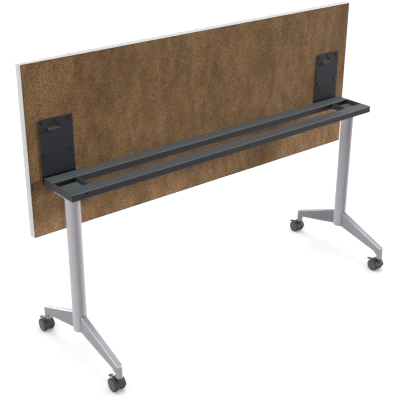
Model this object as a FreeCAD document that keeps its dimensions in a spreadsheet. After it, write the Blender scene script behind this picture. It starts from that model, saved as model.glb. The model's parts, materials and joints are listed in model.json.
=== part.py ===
"""Flip-top training table on casters, with its top tipped up for storage.

Frame: +X along the table, +Y towards the stowed top, +Z up, in millimetres.
The origin is on the floor, midway between the legs and under the middle of the frame.
Front is -Y, rear is +Y, left is -X and right is +X.
"""
import FreeCAD, Part, Sketcher
import math
import os
from FreeCAD import Placement, Rotation, Vector

doc = FreeCAD.newDocument("TrainingTable")
sheet = doc.addObject("Spreadsheet::Sheet", "Sizes")
nodes = []


class Size:
    """A size that carries its number and the expression that gives it."""

    def __init__(self, number, text):
        self.number = number
        self.text = text

    def __add__(self, other):
        other = as_size(other)
        return Size(self.number + other.number, f"({self.text} + {other.text})")

    def __radd__(self, other):
        return as_size(other) + self

    def __sub__(self, other):
        other = as_size(other)
        return Size(self.number - other.number, f"({self.text} - {other.text})")

    def __rsub__(self, other):
        return as_size(other) - self

    def __mul__(self, other):
        other = as_size(other)
        return Size(self.number * other.number, f"({self.text} * {other.text})")

    def __rmul__(self, other):
        return as_size(other) * self

    def __truediv__(self, other):
        other = as_size(other)
        return Size(self.number / other.number, f"({self.text} / {other.text})")

    def __neg__(self):
        return Size(-self.number, f"(-1 * {self.text})")


def as_size(value):
    if isinstance(value, Size):
        return value
    return Size(float(value), f"({float(value)!r})")


def size(alias, number):
    """Write one driving dimension into the sheet and return it."""
    row = len(sheet.getUsedCells()) // 2 + 1
    sheet.set(f"A{row}", alias.replace("_", " "))
    sheet.set(f"B{row}", str(number))
    sheet.setAlias(f"B{row}", alias)
    return Size(float(number), f"Sizes.{alias}")


def middle_of(low, high):
    return (low + high) / 2


# Worktop: a particle board core between two sheets, with a plastic band round its edge
table_height = size("table_height", 723.9)
top_length = size("top_length", 1524.0)
top_depth = size("top_depth", 609.6)
top_thickness = size("top_thickness", 28.6)
laminate_thickness = size("laminate_thickness", 0.8)
backer_thickness = size("backer_thickness", 0.8)
band_thickness = size("band_thickness", 2.0)
top_rise = size("top_rise", 105.0)

# Frame: two rails, closed by end plates and tied by cross plates
frame_overhang = size("frame_overhang", 45.0)
frame_depth = size("frame_depth", 177.8)
rail_depth = size("rail_depth", 50.8)
rail_height = size("rail_height", 25.4)
rail_wall = size("rail_wall", 2.0)
rail_corner = size("rail_corner", 3.0)
end_plate_thickness = size("end_plate_thickness", 3.0)
end_plate_rise = size("end_plate_rise", 0.8)
cross_plate_inset = size("cross_plate_inset", 94.2)
cross_plate_thickness = size("cross_plate_thickness", 3.0)
floor_plate_thickness = size("floor_plate_thickness", 6.0)

# Hinges: a steel plate under the top at each end, on arms that turn on a pin in the rear rail
stow_gap = size("stow_gap", 14.0)
seat_gap = size("seat_gap", 0.5)
pivot_inset = size("pivot_inset", 4.0)
hinge_inset = size("hinge_inset", 67.8)
hinge_plate_width = size("hinge_plate_width", 127.0)
hinge_plate_corner = size("hinge_plate_corner", 5.0)
hinge_plate_thickness = size("hinge_plate_thickness", 3.0)
hinge_plate_drop = size("hinge_plate_drop", 13.0)
plate_above_latch = size("plate_above_latch", 41.0)
arm_thickness = size("arm_thickness", 3.0)
arm_eye_radius = size("arm_eye_radius", 7.5)
arm_depth = size("arm_depth", 8.0)
toe_reach = size("toe_reach", 20.0)
stop_gap = size("stop_gap", 0.3)
pin_radius = size("pin_radius", 4.0)
pin_head_radius = size("pin_head_radius", 6.5)
pin_head_thickness = size("pin_head_thickness", 1.5)
pin_clip_thickness = size("pin_clip_thickness", 1.0)
hinge_block_length = size("hinge_block_length", 80.0)
hinge_block_wall = size("hinge_block_wall", 3.5)
notch_reach = size("notch_reach", 10.0)
notch_rise = size("notch_rise", 9.0)
screw_edge = size("screw_edge", 12.7)
screw_spacing = size("screw_spacing", 50.8)
screw_row_spacing = size("screw_row_spacing", 110.2)
screw_radius = size("screw_radius", 2.4)
screw_length = size("screw_length", 18.0)
screw_head_radius = size("screw_head_radius", 5.6)
screw_head_height = size("screw_head_height", 2.4)

# Latches: a sprung slide behind each hinge plate, with a finger paddle that comes through the
# plate and a tooth under its tip that enters a catch slot in the front rail
latch_offset = size("latch_offset", 13.0)
latch_travel = size("latch_travel", 8.0)
tongue_width = size("tongue_width", 43.0)
tongue_reach = size("tongue_reach", 9.0)
tongue_root = size("tongue_root", 9.0)
tongue_thickness = size("tongue_thickness", 4.0)
tooth_width = size("tooth_width", 10.0)
tooth_thickness = size("tooth_thickness", 3.0)
tooth_nose = size("tooth_nose", 2.0)
hook_gap = size("hook_gap", 0.8)
hook_under_gap = size("hook_under_gap", 0.4)
hook_bite = size("hook_bite", 3.5)
catch_play = size("catch_play", 1.0)
latch_slot_side = size("latch_slot_side", 2.5)
latch_slot_play = size("latch_slot_play", 0.6)
latch_slot_corner = size("latch_slot_corner", 2.0)
slide_width = size("slide_width", 54.0)
slide_thickness = size("slide_thickness", 6.0)
slide_below = size("slide_below", 12.0)
slide_above = size("slide_above", 15.0)
spring_length = size("spring_length", 21.0)
spring_radius = size("spring_radius", 2.8)
spring_bore = size("spring_bore", 1.9)

# Legs: a round column, two cast feet and the plate that bolts it to the frame
column_inset = size("column_inset", 45.8)
column_offset = size("column_offset", -9.5)
column_radius = size("column_radius", 25.4)
column_wall = size("column_wall", 2.0)
column_bottom = size("column_bottom", 132.0)
column_plate_thickness = size("column_plate_thickness", 5.0)
plug_cap = size("plug_cap", 3.0)
plug_rounding = size("plug_rounding", 2.4)
plug_depth = size("plug_depth", 12.0)
leg_bolt_gap = size("leg_bolt_gap", 0.6)
leg_bolt_edge = size("leg_bolt_edge", 6.6)
leg_bolt_rim = size("leg_bolt_rim", 9.5)
leg_bolt_radius = size("leg_bolt_radius", 4.0)
leg_bolt_head_radius = size("leg_bolt_head_radius", 6.5)
leg_bolt_head_height = size("leg_bolt_head_height", 4.5)
leg_bolt_bite = size("leg_bolt_bite", 4.5)
foot_reach = size("foot_reach", 238.2)
foot_radius = size("foot_radius", 12.2)
foot_root_top = size("foot_root_top", 194.6)
foot_root_bottom = size("foot_root_bottom", 132.6)
foot_tip_top = size("foot_tip_top", 108.0)
foot_tip_bottom = size("foot_tip_bottom", 89.8)
foot_neck_reach = size("foot_neck_reach", 23.2)
foot_neck_drop = size("foot_neck_drop", 10.0)
foot_above_wheel = size("foot_above_wheel", 10.8)
foot_edge = size("foot_edge", 4.0)

# Casters: a twin-wheel swivel caster with a brake lever under each foot
wheel_radius = size("wheel_radius", 25.4)
wheel_face = size("wheel_face", 21.5)
wheel_gap = size("wheel_gap", 0.8)
wheel_tread_depth = size("wheel_tread_depth", 3.9)
wheel_disc_step = size("wheel_disc_step", 0.7)
wheel_disc_wall = size("wheel_disc_wall", 1.3)
wheel_round = size("wheel_round", 1.6)
wheel_hub_radius = size("wheel_hub_radius", 7.5)
wheel_rim_step = size("wheel_rim_step", 2.0)
wheel_web = size("wheel_web", 6.0)
caster_trail = size("caster_trail", 18.0)
axle_radius = size("axle_radius", 3.0)
axle_end_gap = size("axle_end_gap", 0.2)
stem_radius = size("stem_radius", 5.5)
stem_end_gap = size("stem_end_gap", 2.0)
socket_wall = size("socket_wall", 2.5)
socket_length = size("socket_length", 36.0)
collar_radius = size("collar_radius", 9.0)
collar_height = size("collar_height", 3.0)
swivel_gap = size("swivel_gap", 0.3)
journal_radius = size("journal_radius", 4.0)
rivet_radius = size("rivet_radius", 5.5)
rivet_height = size("rivet_height", 3.5)
rivet_room = size("rivet_room", 1.5)
boss_rise = size("boss_rise", 10.6)
housing_thickness = size("housing_thickness", 13.0)
housing_front = size("housing_front", 7.0)
guard_inset = size("guard_inset", 3.0)
cap_radius = size("cap_radius", 9.5)
fender_gap = size("fender_gap", 1.5)
fender_thickness = size("fender_thickness", 2.4)
fender_inset = size("fender_inset", 1.0)
fender_low = size("fender_low", 0.5)
fender_back = size("fender_back", 2.0)
brake_pivot_back = size("brake_pivot_back", 8.0)
brake_pivot_rise = size("brake_pivot_rise", 21.0)
brake_eye_radius = size("brake_eye_radius", 4.2)
brake_pin_radius = size("brake_pin_radius", 2.0)
brake_half_thickness = size("brake_half_thickness", 3.7)
brake_ear_radius = size("brake_ear_radius", 6.0)
brake_arm_length = size("brake_arm_length", 22.0)
brake_tab_half_width = size("brake_tab_half_width", 7.5)
brake_tab_length = size("brake_tab_length", 9.5)
brake_tab_thickness = size("brake_tab_thickness", 3.0)
brake_tab_drop = size("brake_tab_drop", 8.7)
brake_sweep = size("brake_sweep", 7.0)

# Clearances: between pieces that turn or slide, and round fasteners that pass through
turning_clearance = size("turning_clearance", 0.1)
sliding_clearance = size("sliding_clearance", 0.3)
fixed_clearance = size("fixed_clearance", 0.02)
bolt_clearance = size("bolt_clearance", 0.3)
cut_margin = size("cut_margin", 5.0)

# Levels and planes that follow from the driving dimensions
rail_top = table_height - top_thickness - hinge_plate_thickness - seat_gap
rail_bottom = rail_top - rail_height
frame_half_depth = frame_depth / 2
frame_half_length = top_length / 2 - frame_overhang
rail_inner = frame_half_depth - rail_depth
rail_half_length = frame_half_length - end_plate_thickness
cross_plate_x = frame_half_length - cross_plate_inset
hinge_x = frame_half_length - hinge_inset
column_x = frame_half_length - column_inset
pivot_y = frame_half_depth - pivot_inset
plate_front_y = frame_half_depth + stow_gap
plate_back_y = plate_front_y + hinge_plate_thickness
pivot_z = rail_top + seat_gap - (plate_front_y - pivot_y)
top_middle_z = pivot_z + top_rise
core_front_y = plate_back_y + backer_thickness
top_face_y = plate_back_y + top_thickness
core_back_y = top_face_y - laminate_thickness
core_half_length = top_length / 2 - band_thickness
core_half_depth = top_depth / 2 - band_thickness
plate_bottom_z = pivot_z - hinge_plate_drop
tongue_z = pivot_z + pivot_y + frame_half_depth + hook_gap
plate_top_z = tongue_z + plate_above_latch
catch_top = rail_top + seat_gap - (tongue_reach - tooth_thickness) + hook_under_gap
catch_bottom = rail_top + seat_gap - tongue_reach - 2 * hook_under_gap
slide_front_y = plate_back_y + sliding_clearance
slide_back_y = slide_front_y + slide_thickness
slide_bottom_z = tongue_z - slide_below
slide_top_z = tongue_z + slide_above
spring_top_z = slide_top_z + spring_length
column_plate_bottom = rail_bottom - column_plate_thickness
leg_bolt_x = column_radius + leg_bolt_head_radius + leg_bolt_gap
leg_bolt_y = rail_inner + column_offset - leg_bolt_edge
column_plate_half = leg_bolt_x + leg_bolt_rim
socket_radius = stem_radius + socket_wall
stem_length = socket_length - stem_end_gap
foot_bottom = 2 * wheel_radius + foot_above_wheel
boss_bottom = wheel_radius + boss_rise
wheel_inner_face = housing_thickness / 2 + wheel_gap
wheel_web_face = wheel_face - wheel_web
wheel_disc_radius = wheel_radius - wheel_tread_depth
wheel_rim_radius = wheel_disc_radius - wheel_rim_step
wheel_bore_end = wheel_face - wheel_disc_wall
axle_half_length = wheel_bore_end - axle_end_gap
housing_top = foot_bottom - collar_height - swivel_gap

SIDES = {"left": -1, "right": 1}
ENDS = {"front": -1, "rear": 1}


def bind(thing, name, value):
    """Tie one property of an object to a size."""
    thing.setExpression(name, as_size(value).text)


def move(thing, x, y, z, turn=None):
    """Give an object its placement, with the base tied to sizes."""
    base = [as_size(value) for value in (x, y, z)]
    spot = Vector(*[value.number for value in base])
    thing.Placement = Placement(spot, turn or Rotation())
    for letter, value in zip("xyz", base):
        bind(thing, "Placement.Base." + letter, value)
    return thing


def span(middle, half):
    return (middle - half, middle + half)


def block(name, xs, ys, zs):
    """A box from its low and high faces."""
    box = doc.addObject("Part::Box", name)
    for side, (low, high) in zip(("Length", "Width", "Height"), (xs, ys, zs)):
        bind(box, side, as_size(high) - low)
    return move(box, xs[0], ys[0], zs[0])


def rod(name, axis, start, radius, length):
    """A cylinder that runs along +X, +Y or +Z from its start."""
    turns = {
        "X": Rotation(Vector(0, 1, 0), 90),
        "Y": Rotation(Vector(1, 0, 0), -90),
        "Z": Rotation(),
    }
    cylinder = doc.addObject("Part::Cylinder", name)
    bind(cylinder, "Radius", radius)
    bind(cylinder, "Height", length)
    return move(cylinder, *start, turns[axis])


def join(name, *pieces):
    fused = doc.addObject("Part::MultiFuse", name)
    fused.Shapes = list(pieces)
    fused.Refine = True
    return fused


def cut(name, base, *tools):
    result = doc.addObject("Part::Cut", name)
    result.Base = base
    result.Tool = tools[0] if len(tools) == 1 else join(name + "_tools", *tools)
    result.Refine = True
    return result


def overlap(name, first, second):
    result = doc.addObject("Part::Common", name)
    result.Base = first
    result.Tool = second
    return result


def together(name, pieces):
    """Separate solids of identical pieces in one node."""
    group = doc.addObject("Part::Compound", name)
    group.Links = pieces
    return group


def node(thing, name):
    """Keep an object as a sub-part of the table under its own name."""
    thing.Label = name
    nodes.append((name, thing))
    return thing


def polygon(body, role, points):
    """A closed outline on one of the body's origin planes, with every corner tied to sizes."""
    sketch = body.newObject("Sketcher::SketchObject", body.Name + "_outline")
    plane = next(f for f in body.Origin.OriginFeatures if f.Role == role)
    sketch.AttachmentSupport = [(plane, "")]
    sketch.MapMode = "FlatFace"
    corners = [(as_size(across), as_size(up)) for across, up in points]
    count = len(corners)
    for index, (across, up) in enumerate(corners):
        after = corners[(index + 1) % count]
        start = Vector(across.number, up.number, 0)
        end = Vector(after[0].number, after[1].number, 0)
        sketch.addGeometry(Part.LineSegment(start, end), False)
    for index in range(count):
        sketch.addConstraint(Sketcher.Constraint("Coincident", index, 2, (index + 1) % count, 1))
    for index, (across, up) in enumerate(corners):
        for kind, axis, value in (("DistanceX", -2, across), ("DistanceY", -1, up)):
            if value.number == 0 and "Sizes" not in value.text:
                sketch.addConstraint(Sketcher.Constraint("PointOnObject", index, 1, axis))
                continue
            place = sketch.addConstraint(Sketcher.Constraint(kind, -1, 1, index, 1, value.number))
            sketch.setExpression(f"Constraints[{place}]", value.text)
    return sketch


def padded(name, role, points, thickness):
    """A body whose outline is padded to both sides of its plane."""
    body = doc.addObject("PartDesign::Body", name)
    pad = body.newObject("PartDesign::Pad", name + "_pad")
    pad.Profile = polygon(body, role, points)
    pad.SideType = "Symmetric"
    bind(pad, "Length", thickness)
    body.Tip = pad
    return body


def spun(name, points):
    """A body whose outline, given as distance along X and radius, turns about the X axis."""
    body = doc.addObject("PartDesign::Body", name)
    sketch = polygon(body, "XZ_Plane", points)
    turn = body.newObject("PartDesign::Revolution", name + "_turn")
    turn.Profile = sketch
    turn.ReferenceAxis = (sketch, ["H_Axis"])
    turn.Angle = 360
    body.Tip = turn
    return body


def rounded(body, radius, wanted):
    """Round the edges of a body that a test picks."""
    doc.recompute()
    base = body.Tip
    names = [f"Edge{i + 1}" for i, edge in enumerate(base.Shape.Edges) if wanted(edge)]
    fillet = body.newObject("PartDesign::Fillet", body.Name + "_rounding")
    fillet.Base = (base, names)
    bind(fillet, "Radius", radius)
    body.Tip = fillet
    return body


def runs_along(edge, axis):
    ends = edge.Vertexes
    if len(ends) < 2:
        return False
    reach = ends[1].Point - ends[0].Point
    return abs(abs(reach.normalize() * axis) - 1) < 1e-6


# Worktop sheets, core and edge band
def latch_pocket(side, name):
    """The routed pocket of a latch: wide where the slide runs, narrow above for its spring."""
    middle = side * hinge_x - latch_offset
    depth = (plate_back_y - cut_margin, slide_back_y + sliding_clearance)
    run_top = slide_top_z + latch_travel + sliding_clearance
    wide = span(middle, slide_width / 2 + sliding_clearance)
    narrow = span(middle, spring_radius + sliding_clearance)
    return join(
        name,
        block(name + "_run", wide, depth, (slide_bottom_z - sliding_clearance, run_top)),
        block(name + "_spring", narrow, depth, (slide_bottom_z, spring_top_z)),
    )


def screw_places(side):
    """The middle of each screw of one hinge plate, as X and Z."""
    middle = side * hinge_x
    upper = plate_top_z - screw_edge
    lower = upper - screw_row_spacing
    top_row = [(middle + step * screw_spacing, upper) for step in (-1, 0, 1)]
    return top_row + [(middle + step * screw_spacing, lower) for step in (-1, 1)]


def screw_holes(name, radius, start_y, length):
    holes = []
    for side_name, side in SIDES.items():
        for x, z in screw_places(side):
            holes.append(rod(name, "Y", (x, start_y, z), radius, length))
    return holes


def worktop():
    whole_x = span(as_size(0), top_length / 2)
    inner_x = span(as_size(0), core_half_length)
    inner_z = span(top_middle_z, core_half_depth)
    pockets = [latch_pocket(side, "core_pocket") for side in SIDES.values()]
    pilots = screw_holes(
        "core_pilot", screw_radius + fixed_clearance, plate_back_y, screw_length
    )
    core = block("core_blank", inner_x, (core_front_y, core_back_y), inner_z)
    node(cut("top_core", core, *pockets, *pilots), "top_core")

    laminate = block("top_laminate", inner_x, (core_back_y, top_face_y), inner_z)
    node(laminate, "top_laminate")

    openings = [latch_pocket(side, "backer_opening") for side in SIDES.values()]
    passes = screw_holes(
        "backer_hole",
        screw_radius + fixed_clearance,
        plate_back_y - cut_margin,
        cut_margin + backer_thickness + cut_margin,
    )
    sheet_blank = block("backer_blank", inner_x, (plate_back_y, core_front_y), inner_z)
    node(cut("top_backer", sheet_blank, *openings, *passes), "top_backer")

    thick_y = (plate_back_y, top_face_y)
    strips = []
    for way in (-1, 1):
        edge = top_middle_z + way * (core_half_depth + band_thickness / 2)
        strips.append(block("long_band", whole_x, thick_y, span(edge, band_thickness / 2)))
    for way in (-1, 1):
        edge = way * (core_half_length + band_thickness / 2)
        strips.append(block("short_band", span(edge, band_thickness / 2), thick_y, inner_z))
    node(together("top_edge_band", strips), "top_edge_band")


# Hinge plates with their arms, and the screws that hold them to the top
def arm_outline():
    """One hinge arm, seen along X: the bar, the stop toe and the web up to the eye."""
    low = plate_bottom_z
    toe_top = rail_bottom - stop_gap
    bar_top = low + arm_depth
    return [
        (plate_front_y + hinge_plate_thickness / 2, low),
        (pivot_y - toe_reach, low),
        (pivot_y - toe_reach, toe_top),
        (pivot_y - arm_eye_radius, toe_top),
        (pivot_y - arm_eye_radius, pivot_z),
        (pivot_y + arm_eye_radius, pivot_z),
        (pivot_y + arm_eye_radius, bar_top),
        (plate_front_y + hinge_plate_thickness / 2, bar_top),
    ]


def is_upper_corner(edge):
    return runs_along(edge, Vector(0, 1, 0)) and edge.BoundBox.ZMin > tongue_z.number


def hinge_plate(name, side):
    middle = side * hinge_x
    slot_middle = middle - latch_offset
    slot_low = tongue_z - sliding_clearance
    slot_high = tongue_z + tongue_root + latch_travel + latch_slot_play
    through = (plate_front_y - cut_margin, hinge_plate_thickness + 2 * cut_margin)
    slot_left, slot_right = span(as_size(0), tongue_width / 2 + latch_slot_side)
    slot = padded(
        name + "_slot",
        "XZ_Plane",
        [
            (slot_left, slot_low),
            (slot_right, slot_low),
            (slot_right, slot_high),
            (slot_left, slot_high),
        ],
        through[1],
    )
    rounded(slot, latch_slot_corner, lambda edge: runs_along(edge, Vector(0, 1, 0)))
    move(slot, slot_middle, middle_of(plate_front_y, plate_back_y), 0)
    holes = []
    for x, z in screw_places(side):
        spot = (x, through[0], z)
        holes.append(rod(name + "_hole", "Y", spot, screw_radius + bolt_clearance, through[1]))

    left, right = span(as_size(0), hinge_plate_width / 2)
    corners = [
        (left, plate_bottom_z),
        (right, plate_bottom_z),
        (right, plate_top_z),
        (left, plate_top_z),
    ]
    sheet_steel = padded(name + "_sheet", "XZ_Plane", corners, hinge_plate_thickness)
    rounded(sheet_steel, hinge_plate_corner, is_upper_corner)
    pieces = [move(sheet_steel, middle, middle_of(plate_front_y, plate_back_y), 0)]
    reach = hinge_block_length / 2 + sliding_clearance + arm_thickness / 2
    for way in (-1, 1):
        arm = padded(name + "_arm", "YZ_Plane", arm_outline(), arm_thickness)
        pieces.append(move(arm, middle + way * reach, 0, 0))
        start = (middle + way * reach - arm_thickness / 2, pivot_y, pivot_z)
        pieces.append(rod(name + "_eye", "X", start, arm_eye_radius, arm_thickness))
    bore_start = (middle - hinge_plate_width / 2, pivot_y, pivot_z)
    bore = rod(
        name + "_bore", "X", bore_start, pin_radius + turning_clearance, hinge_plate_width
    )
    return cut(name, join(name + "_blank", *pieces), bore, slot, *holes)


def hinge_screws():
    screws = []
    for side in SIDES.values():
        for x, z in screw_places(side):
            start = (x, plate_front_y - screw_head_height, z)
            head = rod("screw_head", "Y", start, screw_head_radius, screw_head_height)
            shank_start = (x, plate_front_y, z)
            shank = rod("screw_shank", "Y", shank_start, screw_radius, screw_length)
            screws.append(join("hinge_screw", head, shank))
    return together("hinge_plate_screws", screws)


# Latch slides and their return springs
def latch_slide(name, side):
    middle = side * hinge_x - latch_offset
    tip_y = plate_front_y - tongue_reach
    tooth_back_y = tip_y + tooth_thickness
    tooth_low_z = tongue_z - hook_gap - hook_bite
    tip_top_z = tongue_z + tongue_thickness
    root_top_z = tongue_z + tongue_root
    tongue = padded(
        name + "_tongue",
        "YZ_Plane",
        [
            (slide_front_y + slide_thickness / 2, tongue_z),
            (tip_y, tongue_z),
            (tip_y, tip_top_z),
            (plate_front_y, root_top_z),
            (slide_front_y + slide_thickness / 2, root_top_z),
        ],
        tongue_width,
    )
    move(tongue, middle, 0, 0)
    tooth = padded(
        name + "_tooth",
        "YZ_Plane",
        [
            (tooth_back_y, tip_top_z),
            (tooth_back_y, tooth_low_z),
            (tip_y + tooth_nose, tooth_low_z),
            (tip_y, tooth_low_z + tooth_nose),
            (tip_y, tip_top_z),
        ],
        tooth_width,
    )
    move(tooth, middle, 0, 0)
    base = block(
        name + "_base",
        span(middle, slide_width / 2),
        (slide_front_y, slide_back_y),
        (slide_bottom_z, slide_top_z),
    )
    return join(name, base, tongue, tooth)


def latch_spring(name, side):
    middle = side * hinge_x - latch_offset
    depth = slide_front_y + slide_thickness / 2
    start = (middle, depth, slide_top_z)
    coil = rod(name + "_coil", "Z", start, spring_radius, spring_length)
    bore = rod(name + "_bore", "Z", start, spring_bore, spring_length)
    return cut(name, coil, bore)


# Rails, end plates, cross plates and floor plates
def rail_tube(name, middle_y):
    ys = span(middle_y, rail_depth / 2)
    corners = [(ys[0], rail_bottom), (ys[1], rail_bottom), (ys[1], rail_top), (ys[0], rail_top)]
    tube = padded(name + "_outside", "YZ_Plane", corners, 2 * rail_half_length)
    rounded(tube, rail_corner, lambda edge: runs_along(edge, Vector(1, 0, 0)))
    bore = block(
        name + "_inside",
        span(as_size(0), rail_half_length + cut_margin),
        span(middle_y, rail_depth / 2 - rail_wall),
        (rail_bottom + rail_wall, rail_top - rail_wall),
    )
    return tube, bore


def front_rail():
    """The front rail, with a small slot in its front wall for the tooth of each latch."""
    tube, bore = rail_tube("front_rail", -(rail_inner + rail_depth / 2))
    catches = []
    for side in SIDES.values():
        catches.append(
            block(
                "catch_slot",
                span(side * hinge_x - latch_offset, tooth_width / 2 + catch_play),
                (-(frame_half_depth + cut_margin), -(frame_half_depth - 2 * rail_wall)),
                (catch_bottom, catch_top),
            )
        )
    return cut("front_rail", tube, bore, *catches)


def rear_rail():
    """The rear rail, notched along its lower back corner where each hinge turns."""
    tube, bore = rail_tube("rear_rail", rail_inner + rail_depth / 2)
    half = notch_half_length()
    notches = []
    for side in SIDES.values():
        notches.append(
            block(
                "hinge_notch",
                span(side * hinge_x, half),
                (pivot_y - notch_reach, frame_half_depth + cut_margin),
                (rail_bottom - cut_margin, pivot_z + notch_rise),
            )
        )
    return cut("rear_rail", tube, bore, *notches)


def notch_half_length():
    arms = hinge_block_length / 2 + 2 * sliding_clearance + arm_thickness
    return arms + pin_head_thickness + 2 * bolt_clearance + pin_clip_thickness


def end_plate(name, side):
    low = side * (frame_half_length - end_plate_thickness / 2) - end_plate_thickness / 2
    return block(
        name,
        (low, low + end_plate_thickness),
        span(as_size(0), frame_half_depth),
        (rail_bottom, rail_top + end_plate_rise),
    )


def cross_plate(name, side):
    middle = side * cross_plate_x
    return block(
        name,
        span(middle, cross_plate_thickness / 2),
        span(as_size(0), rail_inner),
        (rail_bottom, rail_top),
    )


def leg_bolt_places(side):
    places = []
    for across in (-1, 1):
        for along in (-1, 1):
            x = side * column_x + across * leg_bolt_x
            places.append((x, column_offset + along * leg_bolt_y))
    return places


def floor_plate(name, side):
    inner = cross_plate_x + cross_plate_thickness / 2
    half = (rail_half_length - inner) / 2
    slab = block(
        name + "_blank",
        span(side * (inner + half), half),
        span(as_size(0), rail_inner),
        (rail_bottom, rail_bottom + floor_plate_thickness),
    )
    threads = []
    for x, y in leg_bolt_places(side):
        start = (x, y, rail_bottom - cut_margin)
        depth = cut_margin + leg_bolt_bite + fixed_clearance
        threads.append(rod(name + "_thread", "Z", start, leg_bolt_radius + fixed_clearance, depth))
    return cut(name, slab, *threads)


# Hinge blocks welded into the rear rail, the pins in them and the clips on the pins
def hinge_block(name, side):
    middle = side * hinge_x
    body = block(
        name + "_blank",
        span(middle, hinge_block_length / 2),
        (pivot_y - notch_reach, pivot_y + pin_radius + hinge_block_wall),
        (rail_bottom, pivot_z + notch_rise),
    )
    start = (middle - hinge_block_length / 2 - cut_margin, pivot_y, pivot_z)
    length = hinge_block_length + 2 * cut_margin
    return cut(name, body, rod(name + "_bore", "X", start, pin_radius + fixed_clearance, length))


def arm_outer_reach():
    return hinge_block_length / 2 + sliding_clearance + arm_thickness


def hinge_pin(name, side):
    """A headed pin, with its head on the side towards the end of the table."""
    middle = side * hinge_x
    head_at = arm_outer_reach() + bolt_clearance
    tail_at = head_at + pin_clip_thickness + bolt_clearance
    low = middle - (tail_at if side > 0 else head_at)
    shaft = rod(name + "_shaft", "X", (low, pivot_y, pivot_z), pin_radius, head_at + tail_at)
    head_low = middle + side * (head_at + pin_head_thickness / 2) - pin_head_thickness / 2
    head = rod(
        name + "_head", "X", (head_low, pivot_y, pivot_z), pin_head_radius, pin_head_thickness
    )
    return join(name, shaft, head)


def pin_clips():
    clips = []
    for side in SIDES.values():
        inboard = arm_outer_reach() + bolt_clearance + pin_clip_thickness / 2
        low = side * hinge_x - side * inboard - pin_clip_thickness / 2
        spot = (low, pivot_y, pivot_z)
        ring = rod("clip_ring", "X", spot, pin_head_radius, pin_clip_thickness)
        seat = rod("clip_seat", "X", spot, pin_radius + fixed_clearance, pin_clip_thickness)
        clips.append(cut("pin_clip", ring, seat))
    return together("hinge_pin_clips", clips)


# Columns, plates, plugs and bolts of the legs
def column(name, side):
    low = column_bottom + plug_cap
    start = (side * column_x, column_offset, low)
    length = column_plate_bottom - low
    outside = rod(name + "_outside", "Z", start, column_radius, length)
    inside = rod(name + "_inside", "Z", start, column_radius - column_wall, length)
    return cut(name, outside, inside)


def column_plate(name, side):
    slab = block(
        name + "_blank",
        span(side * column_x, column_plate_half),
        span(column_offset, column_plate_half),
        (column_plate_bottom, rail_bottom),
    )
    holes = []
    for x, y in leg_bolt_places(side):
        start = (x, y, column_plate_bottom - cut_margin)
        length = column_plate_thickness + 2 * cut_margin
        holes.append(rod(name + "_hole", "Z", start, leg_bolt_radius + bolt_clearance, length))
    return cut(name, slab, *holes)


def column_plug(name, side):
    """A plastic plug whose rounded cap closes the lower end of the column."""
    middle = side * column_x
    cap_start = (middle, column_offset, column_bottom)
    cap = rod(name + "_cap", "Z", cap_start, column_radius, plug_cap)
    start = (middle, column_offset, column_bottom + plug_cap)
    inner_radius = column_radius - column_wall - turning_clearance
    insert = rod(name + "_insert", "Z", start, inner_radius, plug_depth)
    body = doc.addObject("PartDesign::Body", name + "_body")
    body.BaseFeature = join(name + "_blank", cap, insert)
    doc.recompute()

    def lower_rim(edge):
        ring = len(edge.Vertexes) == 1
        return ring and edge.BoundBox.ZMax < column_bottom.number + plug_cap.number / 2

    return rounded(body, plug_rounding, lower_rim)


def leg_bolts():
    bolts = []
    for side in SIDES.values():
        for x, y in leg_bolt_places(side):
            start = (x, y, column_plate_bottom - leg_bolt_head_height)
            head = rod("leg_bolt_head", "Z", start, leg_bolt_head_radius, leg_bolt_head_height)
            shank_start = (x, y, column_plate_bottom)
            length = column_plate_thickness + leg_bolt_bite
            shank = rod("leg_bolt_shank", "Z", shank_start, leg_bolt_radius, length)
            bolts.append(join("leg_bolt", head, shank))
    return together("leg_bolts", bolts)


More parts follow.
